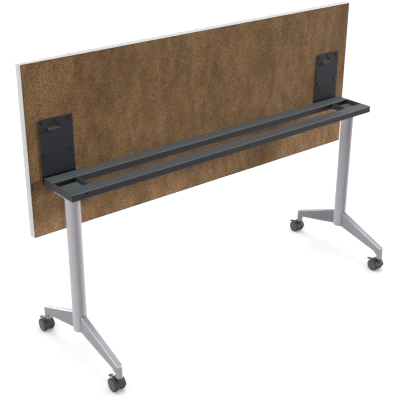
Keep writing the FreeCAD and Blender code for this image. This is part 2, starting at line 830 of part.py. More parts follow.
# Feet: a tapered arm from the column, turned down into the round end that takes the caster
def foot(name, side, end):
    outer = foot_reach + foot_radius
    neck = foot_reach - foot_neck_reach
    root = column_radius / 2
    top_slope = (foot_root_top - foot_tip_top) / (outer - column_radius)
    low_slope = (foot_root_bottom - foot_tip_bottom) / (neck - column_radius)
    neck_low = foot_tip_bottom - foot_neck_drop
    side_view = padded(
        name + "_side",
        "YZ_Plane",
        [
            (root, foot_root_bottom + low_slope * (column_radius - root)),
            (neck, foot_tip_bottom),
            (foot_reach - foot_radius, neck_low),
            (outer, neck_low),
            (outer, foot_tip_top),
            (root, foot_root_top + top_slope * (column_radius - root)),
        ],
        2 * foot_radius,
    )
    plan_top = foot_root_top + top_slope * column_radius
    plan_zs = (neck_low - cut_margin, plan_top)
    plan_box = block(name + "_plan", span(as_size(0), foot_radius), (0, foot_reach), plan_zs)
    end_start = (0, foot_reach, neck_low - cut_margin)
    plan_end = rod(
        name + "_plan_end", "Z", end_start, foot_radius, plan_top - (neck_low - cut_margin)
    )
    arm = overlap(name + "_arm", side_view, join(name + "_plan_view", plan_box, plan_end))
    stub_start = (0, foot_reach, foot_bottom)
    stub_height = middle_of(neck_low, foot_tip_top) - foot_bottom
    stub = rod(name + "_stub", "Z", stub_start, foot_radius, stub_height)
    body = doc.addObject("PartDesign::Body", name + "_body")
    body.BaseFeature = join(name + "_blank", arm, stub)
    doc.recompute()
    lowest = foot_tip_top.number - 1

    def upper_edge(edge):
        box = edge.BoundBox
        away = box.YMax > column_radius.number
        on_top = box.ZMin > lowest
        centred = box.XMax - box.XMin > 1.9 * foot_radius.number and box.YMax < foot_reach.number
        return away and on_top and not centred

    rounded(body, foot_edge, upper_edge)
    saddle = rod(
        name + "_saddle",
        "Z",
        (0, 0, 0),
        column_radius + fixed_clearance,
        plan_top + cut_margin,
    )
    bore_start = (0, foot_reach, foot_bottom - cut_margin)
    bore = rod(
        name + "_bore",
        "Z",
        bore_start,
        socket_radius + fixed_clearance,
        cut_margin + socket_length,
    )
    turn = Rotation(Vector(0, 0, 1), 0 if end > 0 else 180)
    return move(cut(name, body, saddle, bore), side * column_x, column_offset, 0, turn)


def caster_places():
    """Each caster's name with the X and Y of its stem."""
    places = []
    for side_name, side in SIDES.items():
        for end_name, end in ENDS.items():
            x = side * column_x
            places.append((f"{side_name}_{end_name}", x, column_offset + end * foot_reach))
    return places


def caster_sockets():
    """A steel sleeve in each foot that grips the stem of its caster."""
    sleeves = []
    for name, x, y in caster_places():
        start = (x, y, foot_bottom)
        outside = rod("socket_outside", "Z", start, socket_radius, socket_length)
        inside = rod("socket_inside", "Z", start, stem_radius + turning_clearance, socket_length)
        sleeves.append(cut("caster_socket", outside, inside))
    return together("caster_sockets", sleeves)


# Casters, each built round its own stem axis with the origin on the floor
def caster_stem(name):
    collar_low = foot_bottom - collar_height
    shank = rod(name + "_shank", "Z", (0, 0, foot_bottom), stem_radius, stem_length)
    collar = rod(name + "_collar", "Z", (0, 0, collar_low), collar_radius, collar_height)
    rivet_low = boss_bottom - swivel_gap - rivet_height
    journal = rod(
        name + "_journal", "Z", (0, 0, rivet_low), journal_radius, collar_low - rivet_low
    )
    rivet = rod(name + "_rivet", "Z", (0, 0, rivet_low), rivet_radius, rivet_height)
    return join(name, shank, collar, journal, rivet)


def caster_housing(name):
    """The swivel housing: a round guard between the wheels, a cap and a fender."""
    half = housing_thickness / 2
    pivot = (caster_trail + brake_pivot_back, wheel_radius + brake_pivot_rise)
    cap_low = wheel_radius + wheel_radius + fender_gap
    web = padded(
        name + "_web",
        "YZ_Plane",
        [
            (-housing_front, boss_bottom),
            (-housing_front, cap_low + fender_thickness / 2),
            (caster_trail, cap_low + fender_thickness / 2),
            pivot,
            (caster_trail, wheel_radius),
            (rivet_radius + rivet_room, boss_bottom),
        ],
        housing_thickness,
    )
    guard_start = (-half, caster_trail, wheel_radius)
    guard_radius = wheel_radius - guard_inset
    guard = rod(name + "_guard", "X", guard_start, guard_radius, housing_thickness)
    ear_start = (-half, *pivot)
    ear = rod(name + "_ear", "X", ear_start, brake_ear_radius, housing_thickness)
    cap = rod(name + "_cap", "Z", (0, 0, boss_bottom), cap_radius, housing_top - boss_bottom)

    inner = wheel_radius + fender_gap
    outer = inner + fender_thickness
    fender_half_width = wheel_face - fender_inset
    barrel_start = (-fender_half_width, caster_trail, wheel_radius)
    barrel = rod(name + "_barrel", "X", barrel_start, outer, 2 * fender_half_width)
    quadrant = block(
        name + "_quadrant",
        span(as_size(0), fender_half_width),
        (caster_trail - outer, caster_trail + fender_back),
        (wheel_radius + fender_low, wheel_radius + outer),
    )
    fender = overlap(name + "_fender", barrel, quadrant)
    wells = []
    for low in (-half - wheel_face, half):
        well_start = (low, caster_trail, wheel_radius)
        wells.append(rod(name + "_well", "X", well_start, inner, wheel_face))

    bore = rod(
        name + "_bore",
        "Z",
        (0, 0, boss_bottom - cut_margin),
        journal_radius + turning_clearance,
        housing_top + cut_margin,
    )
    room = block(
        name + "_rivet_room",
        span(as_size(0), half + cut_margin),
        span(as_size(0), rivet_radius + rivet_room),
        (boss_bottom - rivet_height - 2 * rivet_room, boss_bottom),
    )
    axle_start = (-half - cut_margin, caster_trail, wheel_radius)
    axle_length = housing_thickness + 2 * cut_margin
    axle_bore = rod(
        name + "_axle_bore", "X", axle_start, axle_radius + fixed_clearance, axle_length
    )
    pin_start = (-half - cut_margin, *pivot)
    pin_bore = rod(
        name + "_pin_bore", "X", pin_start, brake_pin_radius + turning_clearance, axle_length
    )
    slot_half = brake_half_thickness + sliding_clearance
    slot_radius = brake_eye_radius + 2 * sliding_clearance
    slot_round = rod(name + "_slot_round", "X", (-slot_half, *pivot), slot_radius, 2 * slot_half)
    slot_back = block(
        name + "_slot_back",
        span(as_size(0), slot_half),
        (pivot[0], pivot[0] + brake_arm_length),
        (pivot[1] - brake_tab_drop - brake_sweep, pivot[1] + 2 * slot_radius),
    )
    solid = join(name + "_blank", web, guard, ear, cap, fender)
    return cut(name, solid, bore, room, axle_bore, pin_bore, slot_round, slot_back, *wells)


def caster_axle(name):
    start = (-axle_half_length, caster_trail, wheel_radius)
    return together(name, [rod(name + "_rod", "X", start, axle_radius, 2 * axle_half_length)])


def caster_wheel(name):
    """A wheel with a hub, a rim and a flat disc outside, its axle hole ending behind the disc."""
    bore = axle_radius + turning_clearance
    tread_face = wheel_face - wheel_disc_step
    return spun(
        name,
        [
            (wheel_inner_face, bore),
            (wheel_inner_face, wheel_hub_radius),
            (wheel_web_face, wheel_hub_radius),
            (wheel_web_face, wheel_rim_radius),
            (wheel_inner_face, wheel_rim_radius),
            (wheel_inner_face, wheel_radius - wheel_round),
            (wheel_inner_face + wheel_round, wheel_radius),
            (tread_face - wheel_round, wheel_radius),
            (tread_face, wheel_radius - wheel_round),
            (tread_face, wheel_disc_radius),
            (wheel_face, wheel_disc_radius - wheel_disc_step),
            (wheel_face, 0),
            (wheel_bore_end, 0),
            (wheel_bore_end, bore),
        ],
    )


def brake_lever(name):
    """A lever between the wheels, whose tab stands out behind them."""
    pivot = (caster_trail + brake_pivot_back, wheel_radius + brake_pivot_rise)
    half = brake_half_thickness
    eye = rod(name + "_eye", "X", (-half, *pivot), brake_eye_radius, 2 * half)
    pin_half = housing_thickness / 2 - turning_clearance
    pin = rod(name + "_pin", "X", (-pin_half, *pivot), brake_pin_radius, 2 * pin_half)
    tip_y = pivot[0] + brake_arm_length
    tab_low = pivot[1] - brake_tab_drop
    arm = padded(
        name + "_arm",
        "YZ_Plane",
        [
            (pivot[0], pivot[1] - brake_eye_radius),
            (tip_y, tab_low),
            (tip_y, tab_low + brake_tab_thickness),
            (pivot[0], pivot[1] + brake_eye_radius),
        ],
        2 * half,
    )
    tab = block(
        name + "_tab",
        span(as_size(0), brake_tab_half_width),
        (tip_y - half / 2, tip_y + brake_tab_length),
        (tab_low, tab_low + brake_tab_thickness),
    )
    return join(name, eye, pin, arm, tab)


def caster(prefix, x, y):
    node(move(caster_stem(prefix + "_caster_stem"), x, y, 0), prefix + "_caster_stem")
    node(move(caster_housing(prefix + "_caster_housing"), x, y, 0), prefix + "_caster_housing")
    node(move(caster_axle(prefix + "_caster_axle"), x, y, 0), prefix + "_caster_axle")
    for way, hand in ((-1, "left"), (1, "right")):
        wheel_name = f"{prefix}_{hand}_wheel"
        turn = Rotation(Vector(0, 0, 1), 0 if way > 0 else 180)
        wheel = caster_wheel(wheel_name)
        node(move(wheel, x, y + caster_trail, wheel_radius, turn), wheel_name)
    node(move(brake_lever(prefix + "_brake_lever"), x, y, 0), prefix + "_brake_lever")


# Build every sub-part
worktop()
for side_name, side in SIDES.items():
    node(hinge_plate(side_name + "_hinge_plate", side), side_name + "_hinge_plate")
    node(latch_slide(side_name + "_latch_slide", side), side_name + "_latch_slide")
    node(latch_spring(side_name + "_latch_spring", side), side_name + "_latch_spring")
node(hinge_screws(), "hinge_plate_screws")
node(front_rail(), "front_rail")
node(rear_rail(), "rear_rail")
for side_name, side in SIDES.items():
    node(end_plate(side_name + "_end_plate", side), side_name + "_end_plate")
    node(cross_plate(side_name + "_cross_plate", side), side_name + "_cross_plate")
    node(floor_plate(side_name + "_floor_plate", side), side_name + "_floor_plate")
    node(hinge_block(side_name + "_hinge_block", side), side_name + "_hinge_block")
    node(hinge_pin(side_name + "_hinge_pin", side), side_name + "_hinge_pin")
node(pin_clips(), "hinge_pin_clips")
for side_name, side in SIDES.items():
    node(column(side_name + "_column", side), side_name + "_column")
    node(column_plate(side_name + "_column_plate", side), side_name + "_column_plate")
    node(column_plug(side_name + "_column_plug", side), side_name + "_column_plug")
    for end_name, end in ENDS.items():
        foot_name = f"{side_name}_{end_name}_foot"
        node(foot(foot_name, side, end), foot_name)
node(leg_bolts(), "leg_bolts")
node(caster_sockets(), "caster_sockets")
for place_name, stem_x, stem_y in caster_places():
    caster(place_name, stem_x, stem_y)

doc.recompute()


# Check every object and sub-part, then write the sub-parts
faults = []
for thing in doc.Objects:
    if "Invalid" in thing.State or "Error" in thing.State:
        faults.append(f"{thing.Label} is {thing.State}")
for name, thing in nodes:
    shape = thing.Shape
    if shape.isNull() or not shape.isValid() or not shape.Solids:
        faults.append(f"{name} has no valid solid")
    if thing.Label != name:
        faults.append(f"{name} is labelled {thing.Label}")
if faults:
    raise RuntimeError("; ".join(faults))

os.makedirs("parts", exist_ok=True)
for name, thing in nodes:
    thing.Shape.exportStep(f"parts/{name}.step")
print(len(nodes), "sub-parts")
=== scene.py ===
"""Flip-top training table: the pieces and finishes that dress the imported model."""

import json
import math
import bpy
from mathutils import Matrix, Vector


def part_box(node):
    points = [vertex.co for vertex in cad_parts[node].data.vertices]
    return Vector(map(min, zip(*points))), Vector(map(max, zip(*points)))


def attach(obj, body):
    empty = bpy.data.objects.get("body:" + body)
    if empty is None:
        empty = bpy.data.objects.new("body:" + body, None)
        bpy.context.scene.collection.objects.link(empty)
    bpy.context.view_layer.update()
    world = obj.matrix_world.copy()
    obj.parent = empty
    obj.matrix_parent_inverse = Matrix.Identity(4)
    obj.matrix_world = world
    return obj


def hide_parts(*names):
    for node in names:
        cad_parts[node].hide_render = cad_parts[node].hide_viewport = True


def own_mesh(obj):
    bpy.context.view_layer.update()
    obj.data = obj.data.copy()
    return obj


bl_info = {
    "name": "Flip-Top Training Table",
    "version": (1, 0, 0),
    "blender": (4, 5, 0),
    "location": "View3D > Sidebar > Training Table",
    "description": "Builds the looks of a flip-top training table around its packed model",
    "category": "Add Mesh",
}

import bmesh
import bpy
from bpy.props import FloatProperty, FloatVectorProperty, IntProperty, PointerProperty
from mathutils import Matrix, Vector

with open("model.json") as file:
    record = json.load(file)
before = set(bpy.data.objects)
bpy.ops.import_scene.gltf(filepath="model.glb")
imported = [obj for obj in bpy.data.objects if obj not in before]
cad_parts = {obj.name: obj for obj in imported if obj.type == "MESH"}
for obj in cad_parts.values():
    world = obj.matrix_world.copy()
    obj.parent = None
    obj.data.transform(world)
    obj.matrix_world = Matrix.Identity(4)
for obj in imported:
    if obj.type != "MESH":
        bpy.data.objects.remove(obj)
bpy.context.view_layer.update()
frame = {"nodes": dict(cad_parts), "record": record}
SIDES = ("left", "right")
ENDS = ("front", "rear")
CASTERS = [f"{side}_{end}" for side in SIDES for end in ENDS]
BODY_OF = {
    node: body
    for body, members in frame["record"]["behaviour"]["bodies"].items()
    for node in members
}
MM = 0.001

# Points closer than this merge in a copied mesh, and folds up to these degrees are flat or smooth
MERGE_DISTANCE = 0.002 * MM
FLAT_ANGLE = 0.3
SMOOTH_ANGLE = 35
# Folds of more than these degrees are corners to be softened
CORNER_ANGLE = 50
# A face looks along an axis from this share of its normal, and a fold is sharp from these radians
FACING = 0.9
SHARP_FOLD = 1.0
# Sides of the round pieces
SCREW_SIDES = 32
WHEEL_SIDES = 64
TUBE_SIDES = 96

# How far the corners of each kind of piece are softened
CLIP_EDGE = 0.2 * MM
CASTER_EDGE = 0.3 * MM
PLATE_EDGE = 0.4 * MM
MOULDED_EDGE = 0.5 * MM
CROSS_WEB_EDGE = 0.8 * MM
END_CAP_EDGE = 1.0 * MM
CAST_EDGE = 2.5 * MM


def from_hex(code):
    """A colour written as sRGB hex, as the linear values that Blender works in."""
    shares = [int(code[i : i + 2], 16) / 255 for i in (1, 3, 5)]
    return tuple(s / 12.92 if s <= 0.04045 else ((s + 0.055) / 1.055) ** 2.4 for s in shares)


def node_size(node):
    low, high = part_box(node)
    return high - low


def node_middle(node):
    low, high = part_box(node)
    return (low + high) / 2


def measure(name, description, default):
    """A length that a user can change."""
    return FloatProperty(name=name, description=description, default=default, unit="LENGTH")


def tint(name, description, code):
    """A colour that a user can change."""
    return FloatVectorProperty(
        name=name, description=description, subtype="COLOR", default=from_hex(code)
    )


# Sizes and colours that a user would change
class TrainingTableSizes(bpy.types.PropertyGroup):
    band_thickness: measure(
        "Edge band thickness", "Thickness of the plastic band round the top", 2 * MM
    )
    band_rounding: measure(
        "Edge band rounding", "Radius scraped along the corners of the edge band", 1.5 * MM
    )
    glue_line: measure(
        "Glue line", "Width of the dark line where the edge band meets the underside", 2.5 * MM
    )
    foot_seam: measure("Foot seam", "Width of the dark seam round the root of each foot", 2 * MM)
    screw_head_radius: measure(
        "Screw head radius", "Radius of the pan heads on the hinge plates", 6.4 * MM
    )
    screw_dome_radius: measure(
        "Screw dome radius", "Radius of the painted dome on the pan heads", 4.4 * MM
    )
    screw_shank_radius: measure(
        "Screw shank radius", "Radius of the screws inside the top", 2.4 * MM
    )
    screw_edge: measure(
        "Screw edge distance",
        "From the upper and side edges of a hinge plate to its screws",
        12.7 * MM,
    )
    screw_row_spacing: measure(
        "Screw row spacing", "From the upper row of screws to the lower one", 110.2 * MM
    )
    spring_wire: measure(
        "Spring wire radius", "Radius of the wire of the latch springs", 0.45 * MM
    )
    spring_turns: IntProperty(
        name="Spring turns",
        description="Turns of each latch spring",
        default=7,
        min=3,
    )
    tube_wall: measure("Column wall", "Wall of the leg columns", 2 * MM)
    bolt_head_radius: measure(
        "Bolt head radius",
        "Corner radius of the hexagon heads under the columns' plates",
        6.5 * MM,
    )
    bolt_head_height: measure(
        "Bolt head height", "Height of the hexagon heads under the columns' plates", 4.5 * MM
    )
    bolt_radius: measure("Bolt radius", "Radius of the bolts that hold the legs", 4 * MM)
    bolts_across: measure(
        "Bolt spacing across",
        "Between the two bolts of a column's plate along the rails",
        65 * MM,
    )
    bolts_along: measure(
        "Bolt spacing from front to rear",
        "Between the two bolts of a column's plate across the rails",
        44 * MM,
    )
    tread_rounding: measure(
        "Tread rounding", "Radius of the corners of the wheel treads", 1.6 * MM
    )
    disc_radius: measure(
        "Wheel disc radius", "Radius of the flat disc on the outside of each wheel", 21.5 * MM
    )


class TrainingTableColours(bpy.types.PropertyGroup):
    backer: tint("Underside", "Brown of the phenolic backing sheet", "#bd966e")
    laminate: tint("Writing face", "White of the laminate", "#e3e2de")
    edge_band: tint("Edge band", "Near white of the edge band", "#d3d4d2")
    charcoal: tint("Rails and plates", "Charcoal of the powder coat", "#343539")
    silver: tint("Legs", "Silver of the powder coat on the columns and feet", "#c2bec5")
    caster: tint("Casters", "Near black of the casters' nylon", "#2f2f2f")
    disc: tint("Wheel discs", "Dark grey of the wheels' discs", "#454545")


def sizes():
    return bpy.context.scene.training_table_sizes


def colours():
    return bpy.context.scene.training_table_colours


# Working on meshes as by hand
def deselect():
    bpy.ops.object.select_all(action="DESELECT")


def take(piece):
    deselect()
    piece.select_set(True)
    bpy.context.view_layer.objects.active = piece
    return piece


def pick(piece, kind, wanted):
    """Enter edit mode and select the faces or edges that a test picks."""
    take(piece)
    bpy.ops.object.mode_set(mode="EDIT")
    bpy.ops.mesh.select_mode(type=kind)
    bpy.ops.mesh.select_all(action="DESELECT")
    work = bmesh.from_edit_mesh(piece.data)
    for item in work.faces if kind == "FACE" else work.edges:
        item.select_set(wanted(item))
    work.select_flush_mode()
    bmesh.update_edit_mesh(piece.data)


def is_sharp(edge):
    faces = edge.link_faces
    return len(faces) == 2 and faces[0].normal.angle(faces[1].normal) > SHARP_FOLD


def done():
    bpy.ops.object.mode_set(mode="OBJECT")


def apply_modifier(piece, kind, **settings):
    take(piece)
    modifier = piece.modifiers.new(kind.title(), kind)
    for name, value in settings.items():
        setattr(modifier, name, value)
    bpy.ops.object.modifier_apply(modifier=modifier.name)


def settle(piece):
    """Put a piece's place into its mesh, so that its object sits at the origin."""
    take(piece)
    bpy.ops.object.transform_apply(location=True, rotation=True, scale=True)
    return piece


def smooth(piece, degrees=SMOOTH_ANGLE):
    take(piece)
    bpy.ops.object.shade_smooth_by_angle(angle=math.radians(degrees))
    return piece


def new_object(name, data):
    made = bpy.data.objects.new(name, data)
    bpy.context.scene.collection.objects.link(made)
    return made


def another(piece, name, shift, turn=0.0):
    """A copy with its own mesh, turned about Z and then shifted."""
    copy = new_object(name, piece.data.copy())
    copy.data.transform(Matrix.Translation(shift) @ Matrix.Rotation(turn, 4, "Z"))
    return copy


def joined(pieces):
    deselect()
    for piece in pieces:
        piece.select_set(True)
    bpy.context.view_layer.objects.active = pieces[0]
    bpy.ops.object.join()
    return pieces[0]


def finish_piece(piece, name, node, material=None):
    """Name a piece, give it a finish if it has none and let it stand for its CAD node."""
    piece.name = name
    piece.data.name = name
    if material:
        piece.data.materials.append(material)
    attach(piece, BODY_OF[node])
    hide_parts(node)
    return piece


def dress(node, material):
    """Give a CAD node its finish."""
    for slot in frame["nodes"][node].material_slots:
        slot.material = material


def softened(node, name, material, bevel=0.0):
    """A copy of a CAD node with merged faces, softened corners and smooth curves."""
    piece = new_object(name, frame["nodes"][node].data.copy())
    piece.data.materials.clear()
    take(piece)
    if piece.data.has_custom_normals:
        bpy.ops.mesh.customdata_custom_splitnormals_clear()
    bpy.ops.object.mode_set(mode="EDIT")
    bpy.ops.mesh.select_mode(type="VERT")
    bpy.ops.mesh.select_all(action="SELECT")
    bpy.ops.mesh.remove_doubles(threshold=MERGE_DISTANCE)
    bpy.ops.mesh.dissolve_limited(angle_limit=math.radians(FLAT_ANGLE))
    done()
    if bevel:
        apply_modifier(
            piece,
            "BEVEL",
            width=bevel,
            segments=2,
            limit_method="ANGLE",
            angle_limit=math.radians(CORNER_ANGLE),
        )
    smooth(piece)
    apply_modifier(piece, "WEIGHTED_NORMAL", keep_sharp=True)
    return finish_piece(piece, name, node, material)


# Materials
WHITE = (1, 1, 1)
# Size or pitch of each pattern, as on the real finish or the finest that shows
PAPER_FLECK = 2.6 * MM
PAPER_TOOTH = 1.2 * MM
RESIN_PATCH = 32 * MM
RESIN_CLOUD = 150 * MM
LAMINATE_CLOUD = 60 * MM
LAMINATE_SUEDE = 0.8 * MM
WOOD_CHIP = 3 * MM
BAND_CLOUD = 25 * MM
BAND_RIPPLE = 1.5 * MM
POWDER_CLOUD = 30 * MM
ORANGE_PEEL = 1.6 * MM
SILVER_PEEL = 1.8 * MM
SILVER_FLAKE = 0.9 * MM
PLUG_CLOUD = 8 * MM
MOULD_TEXTURE = 0.6 * MM
ZINC_BLOOM = 6 * MM
ZINC_WEAR = 2 * MM
OXIDE_CLOUD = 1.5 * MM
OXIDE_GRAIN = 0.7 * MM
NYLON_CLOUD = 4 * MM
TREAD_DUST = 5 * MM
TREAD_GRAIN = 0.9 * MM


def add(tree, kind, inputs=None, stops=(), **settings):
    """Add a node with its settings, colour stops and input values, and the links into it."""
    made = tree.nodes.new(kind)
    for name, value in settings.items():
        setattr(made, name, value)
    for index, (place, colour) in enumerate(stops):
        made.color_ramp.elements[index].position = place
        made.color_ramp.elements[index].color = opaque(colour)
    for key, value in (inputs or {}).items():
        if isinstance(value, bpy.types.Node):
            value = next(socket for socket in value.outputs if socket.enabled)
        if isinstance(value, bpy.types.NodeSocket):
            tree.links.new(value, made.inputs[key])
        else:
            made.inputs[key].default_value = value
    return made


def opaque(colour):
    return (*colour[:3], 1.0)


def shaded(colour, factor):
    return tuple(min(1.0, channel * factor) for channel in colour[:3])


def new_material(name, colour):
    """A material with an empty tree, and the object coordinates that its patterns read."""
    material = bpy.data.materials.new(name)
    material.use_nodes = True
    material.diffuse_color = opaque(colour)
    tree = material.node_tree
    tree.nodes.clear()
    place = add(tree, "ShaderNodeTexCoord").outputs["Object"]
    return material, tree, place


def clouded(tree, place, size, low, high, at=(0.35, 0.65), **inputs):
    """Grains of about that size in metres that vary from one colour to another."""
    noise = add(tree, "ShaderNodeTexNoise", {"Vector": place, "Scale": 1 / size, **inputs})
    return add(tree, "ShaderNodeValToRGB", {"Fac": noise}, stops=zip(at, (low, high)))


def layered(tree, base, *layers, blend="MULTIPLY"):
    """A colour under layers, each of which has its share and its colour."""
    for share, colour in layers:
        if isinstance(colour, tuple):
            colour = opaque(colour)
        base = add(
            tree,
            "ShaderNodeMix",
            {0: share, 6: base, 7: colour},
            data_type="RGBA",
            blend_type=blend,
        )
    return base


def turned(tree, axis, low, high, most=1.0):
    """How far the surface faces along an axis: 0 up to one slope of its normal, then to most."""
    normal = add(tree, "ShaderNodeTexCoord").outputs["Normal"]
    share = add(tree, "ShaderNodeSeparateXYZ", {0: normal}).outputs[axis[-1]]
    if axis == "X":
        share = add(tree, "ShaderNodeMath", {0: share}, operation="ABSOLUTE")
    elif axis == "-Y":
        share = add(tree, "ShaderNodeMath", {0: share, 1: -1}, operation="MULTIPLY")
    return add(
        tree,
        "ShaderNodeMapRange",
        {"Value": share, "From Min": low, "From Max": high, "To Max": most},
    )


def close_material(tree, base, roughness, height=None, relief=0.0, **constants):
    """The shader and output, with the bump that a height gives."""
    inputs = {"Base Color": base, "Roughness": roughness}
    if height is not None:
        inputs["Normal"] = add(
            tree, "ShaderNodeBump", {"Strength": 1.0, "Distance": relief, "Height": height}
        )
    for name, value in constants.items():
        inputs[name.replace("_", " ")] = value
    shader = add(tree, "ShaderNodeBsdfPrincipled", inputs)
    add(tree, "ShaderNodeOutputMaterial", {"Surface": shader})


def phenolic_backing_sheet():
    """Resin-filled kraft paper: matt brown with the paper's fine fibre flecks."""
    colour = colours().backer
    material, tree, place = new_material("phenolic_backing_sheet", colour)
    # Fleck of the paper's fibre, 1 to 2 mm, is drawn at 2.6 mm, the least that shows from here
    fleck = clouded(
        tree,
        place,
        PAPER_FLECK,
        shaded(colour, 0.4),
        shaded(colour, 1.7),
        (0.39, 0.61),
        Roughness=0.7,
    )
    # Resin soaks in unevenly, in slanting patches of a thumb's width and in broad clouds
    slant = add(
        tree,
        "ShaderNodeMapping",
        {"Vector": place, "Rotation": (0, 0.4, 0), "Scale": (1, 1, 0.45)},
    )
    patch = clouded(tree, slant, RESIN_PATCH, (0.72, 0.68, 0.66), WHITE, Detail=4.0)
    cloud = clouded(tree, slant, RESIN_CLOUD, (0.8, 0.78, 0.74), WHITE, (0.35, 0.62))
    # Painted light: across its width the sheet is drawn paler towards its lower edge
    low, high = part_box("top_backer")
    spot = add(tree, "ShaderNodeSeparateXYZ", {0: place})
    height = add(
        tree,
        "ShaderNodeMapRange",
        {"Value": spot.outputs["Z"], "From Min": low.z, "From Max": high.z},
    )
    painted_lower_light = add(
        tree,
        "ShaderNodeValToRGB",
        {"Fac": height},
        stops=((0.0, WHITE), (0.75, (0.64, 0.62, 0.55))),
    )
    # A thin dark glue line shows where the edge band meets the sheet
    rims = []
    for axis, near, far in (("X", low.x, high.x), ("Z", low.z, high.z)):
        rim = spot.outputs[axis]
        for operation, other in (
            ("SUBTRACT", (near + far) / 2),
            ("ABSOLUTE", 0.0),
            ("GREATER_THAN", (far - near) / 2 - sizes().glue_line),
        ):
            rim = add(tree, "ShaderNodeMath", {0: rim, 1: other}, operation=operation)
        rims.append(rim)
    glue = add(tree, "ShaderNodeMath", dict(enumerate(rims)), operation="MAXIMUM")
    base = layered(
        tree, fleck, (1.0, patch), (1.0, cloud), (1.0, painted_lower_light), (glue, (0.3, 0.26, 0.2))
    )
    tooth = add(tree, "ShaderNodeTexNoise", {"Vector": place, "Scale": 1 / PAPER_TOOTH})
    close_material(tree, base, 0.7, tooth, relief=0.03 * MM, Specular_IOR_Level=0.15)
    return material


def white_laminate():
    """Melamine laminate with a fine suede texture: white, low sheen."""
    colour = colours().laminate
    material, tree, place = new_material("white_laminate", colour)
    tone = clouded(tree, place, LAMINATE_CLOUD, shaded(colour, 0.985), colour)
    suede = add(tree, "ShaderNodeTexNoise", {"Vector": place, "Scale": 1 / LAMINATE_SUEDE})
    close_material(tree, tone, 0.5, suede, relief=0.012 * MM, Specular_IOR_Level=0.2)
    return material


def particle_board():
    """Pressed wood chips, seen only inside the routed pockets."""
    light = from_hex("#c9a878")
    material, tree, place = new_material("particle_board", light)
    # Chips are 2 to 4 mm across
    chips = add(tree, "ShaderNodeTexVoronoi", {"Vector": place, "Scale": 1 / WOOD_CHIP})
    tone = add(
        tree,
        "ShaderNodeValToRGB",
        {"Fac": chips.outputs["Color"]},
        stops=((0.2, from_hex("#8d6c45")), (0.8, light)),
    )
    close_material(tree, tone, 0.85, chips.outputs["Distance"], relief=0.2 * MM, IOR=1.45)
    return material


def abs_edge_band():
    """Extruded ABS edging, trimmed flush: near white, with a painted highlight along its scraped
    corner.
    """
    colour = colours().edge_band
    material, tree, place = new_material("abs_edge_band", colour)
    tone = clouded(tree, place, BAND_CLOUD, shaded(colour, 0.97), colour)
    # Painted highlight: the scraped corner towards the underside is drawn whiter than the face
    painted_corner_highlight = turned(tree, "-Y", 0.2, 0.5)
    tone = layered(tree, tone, (painted_corner_highlight, from_hex("#fbfbfa")), blend="MIX")
    # Extrusion leaves a ripple of 1 to 2 mm
    ripple = add(tree, "ShaderNodeTexNoise", {"Vector": place, "Scale": 1 / BAND_RIPPLE})
    close_material(tree, tone, 0.38, ripple, relief=0.015 * MM, IOR=1.53)
    return material


def charcoal_powder_coat(name, top_light, edge_highlight, shade=1.0, sheen=0.2, gap_shade=False):
    """Charcoal polyester powder on steel: satin, with the orange peel that powder flows into."""
    colour = shaded(colours().charcoal, shade)
    material, tree, place = new_material(name, colour)
    tone = clouded(tree, place, POWDER_CLOUD, shaded(colour, 0.93), shaded(colour, 1.05))
    # Painted light: faces that point up are drawn paler as if lit from above, and the upper edges
    # carry a painted highlight
    painted_light_grey = from_hex("#a5adae")
    dust_and_top_light = layered(tree, opaque(colour), (top_light, painted_light_grey), blend="MIX")
    tone = layered(
        tree,
        tone,
        (turned(tree, "Z", 0.3, 0.45, edge_highlight), painted_light_grey),
        (turned(tree, "Z", 0.85, 0.95), dust_and_top_light),
        blend="MIX",
    )
    if gap_shade:
        # Painted shade: the hinge plates are darkened below the rear rail's top, in the gap
        # behind it
        height = add(tree, "ShaderNodeSeparateXYZ", {0: place}).outputs["Z"]
        rail_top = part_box("rear_rail")[1].z
        gap_shade_mask = add(tree, "ShaderNodeMath", {0: height, 1: rail_top}, operation="LESS_THAN")
        tone = layered(tree, tone, (gap_shade_mask, shaded(WHITE, 0.12)))
    # Orange peel has a pitch of 1 to 2 mm
    peel = add(tree, "ShaderNodeTexNoise", {"Vector": place, "Scale": 1 / ORANGE_PEEL})
    close_material(tree, tone, 0.45, peel, relief=0.02 * MM, Specular_IOR_Level=sheen)
    return material


def aluminium_flake(tree, place, colour):
    """Flake of about 0.1 mm, drawn at 0.9 mm because finer sparkle averages out."""
    return clouded(
        tree, place, SILVER_FLAKE, shaded(colour, 0.93), shaded(colour, 1.07), Detail=1.0
    )


def close_silver(tree, place, tone):
    """Silver powder flows out a little more smoothly, to an orange peel of about 2 mm."""
    peel = add(tree, "ShaderNodeTexNoise", {"Vector": place, "Scale": 1 / SILVER_PEEL})
    close_material(tree, tone, 0.3, peel, relief=0.015 * MM, Specular_IOR_Level=0.3)


def silver_powder_coat():
    """Silver powder with aluminium flake on the legs: pale lilac grey, with a soft sheen."""
    colour = colours().silver
    material, tree, place = new_material("silver_powder_coat", colour)
    close_silver(tree, place, aluminium_flake(tree, place, colour))
    return material


